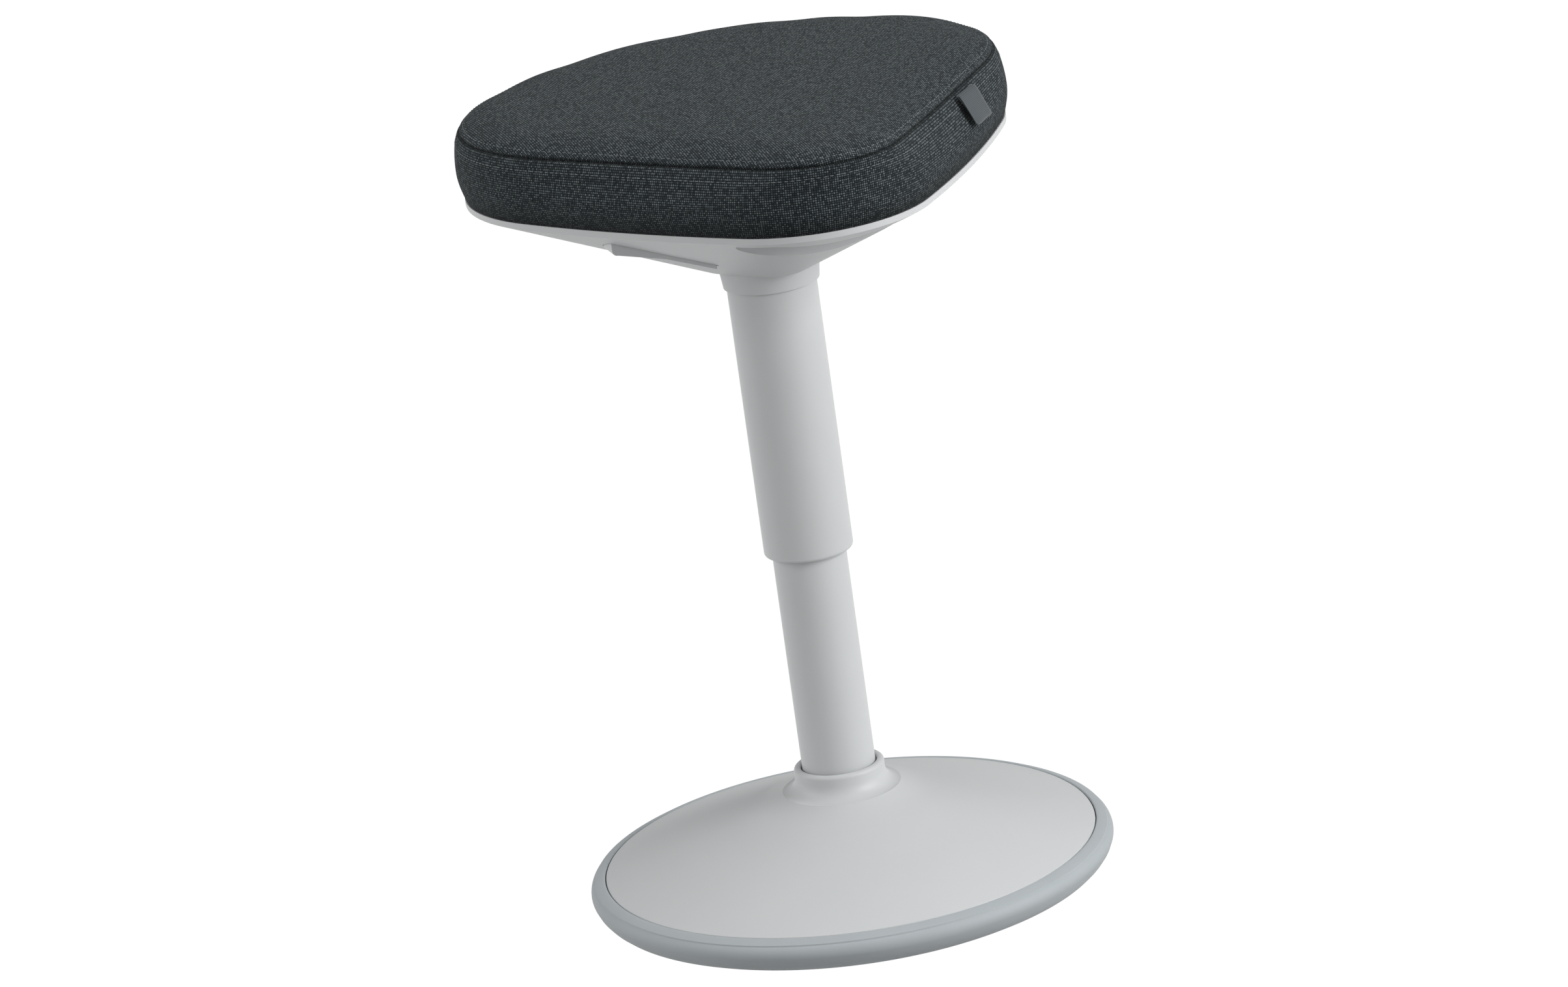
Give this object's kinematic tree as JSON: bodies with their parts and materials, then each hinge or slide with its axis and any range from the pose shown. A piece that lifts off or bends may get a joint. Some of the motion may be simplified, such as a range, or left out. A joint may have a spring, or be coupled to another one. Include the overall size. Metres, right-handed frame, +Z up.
{
  "type": "wobble stool",
  "caption": "Height-adjustable wobble stool with a padded rounded-triangular seat, telescoping swivel column and weighted round rocking base.",
  "frame": {"origin": "on the floor at the column's axis, the middle of the sole's flat contact disc", "axes": "+Z up along the column; the cushion's nose points along -Y, and the seat is mirror-symmetric about X = 0"},
  "size_m": [0.3778, 0.4041, 0.575],
  "materials": {
    "shell_plastic": "fine moulded texture",
    "lever_plastic": "satin",
    "tube_paint": "satin powder coat",
    "sole_rubber": "soft matt",
    "black_rubber": "matt",
    "pan_plastic": "plain moulded",
    "cast_weight": "as cast",
    "zinc_steel": "zinc plated",
    "bearing_steel": "polished",
    "black_steel": "gloss black",
    "black_plastic": "plain moulded",
    "valve_alloy": "turned",
    "birch_ply": "raw plywood",
    "seat_foam": "open-cell foam",
    "woven_cloth": "coarse plain weave",
    "tag_cloth": "tight satin ribbon"
  },
  "bodies": {
    "base": {"rubber_sole": "sole_rubber", "base_pan": "pan_plastic", "ballast_disc": "cast_weight", "column_flange": "zinc_steel", "flange_bolts": "zinc_steel", "cover_screws": "zinc_steel", "base_cover": "shell_plastic", "column_tube": "tube_paint", "column_bottom_plate": "zinc_steel", "lower_bearing_washer": "zinc_steel", "bearing_cage": "black_plastic", "bearing_balls": "bearing_steel", "guide_bushing": "black_plastic"},
    "rod": {"upper_bearing_washer": "zinc_steel", "piston_rod": "bearing_steel", "piston": "black_plastic", "piston_seal": "black_rubber", "rubber_bumper": "black_rubber", "retaining_clip": "zinc_steel"},
    "lift": {"gas_cylinder": "black_steel", "rod_gland": "black_plastic", "valve_body": "valve_alloy", "outer_sleeve": "tube_paint", "sleeve_glide": "black_plastic", "sleeve_end_ring": "black_plastic", "taper_socket": "zinc_steel", "mechanism_plate": "zinc_steel", "plate_spacers": "zinc_steel", "plate_bolts": "zinc_steel", "tee_nuts": "zinc_steel", "lever_bracket_right": "zinc_steel", "lever_pin_right": "zinc_steel", "lever_bracket_left": "zinc_steel", "lever_pin_left": "zinc_steel", "seat_shell": "shell_plastic", "shell_screws": "zinc_steel", "seat_board": "birch_ply", "foam_pad": "seat_foam", "cover_side_band": "woven_cloth", "cover_top_panel": "woven_cloth", "side_tag": "tag_cloth", "staples": "zinc_steel"},
    "lever_right": {"lever_right": "lever_plastic"},
    "lever_left": {"lever_left": "lever_plastic"},
    "release_button": {"release_button": "valve_alloy"}
  },
  "joints": [
    {"name": "seat_swivel", "type": "hinge", "parent": "base", "child": "rod", "pos_m": [0, 0, 0.0625], "axis": [0, 0, 1], "continuous": true},
    {"name": "height_slide", "type": "slide", "parent": "rod", "child": "lift", "axis": [0, 0, 1], "range_m": [-0.02, 0.18]},
    {"name": "lever_right_tilt", "type": "hinge", "parent": "lift", "child": "lever_right", "pos_m": [0.03, -0.03, 0.495], "axis": [0, -1, 0], "range_deg": [0, 5], "stiffness_Nm_per_rad": 1.5, "springref_deg": -2.86},
    {"name": "lever_left_tilt", "type": "hinge", "parent": "lift", "child": "lever_left", "pos_m": [-0.03, -0.03, 0.495], "axis": [0, 1, 0], "range_deg": [0, 5], "stiffness_Nm_per_rad": 1.5, "springref_deg": -2.86},
    {"name": "button_press", "type": "slide", "parent": "lift", "child": "release_button", "axis": [0, 0, -1], "range_m": [0, 0.0034], "stiffness_N_per_m": 20, "springref_m": -0.002}
  ],
  "couplings": [
    {"joint": "lever_left_tilt", "follows": "lever_right_tilt", "ratio": 1},
    {"joint": "button_press", "follows": "lever_right_tilt", "m_per_rad": 0.038}
  ]
}
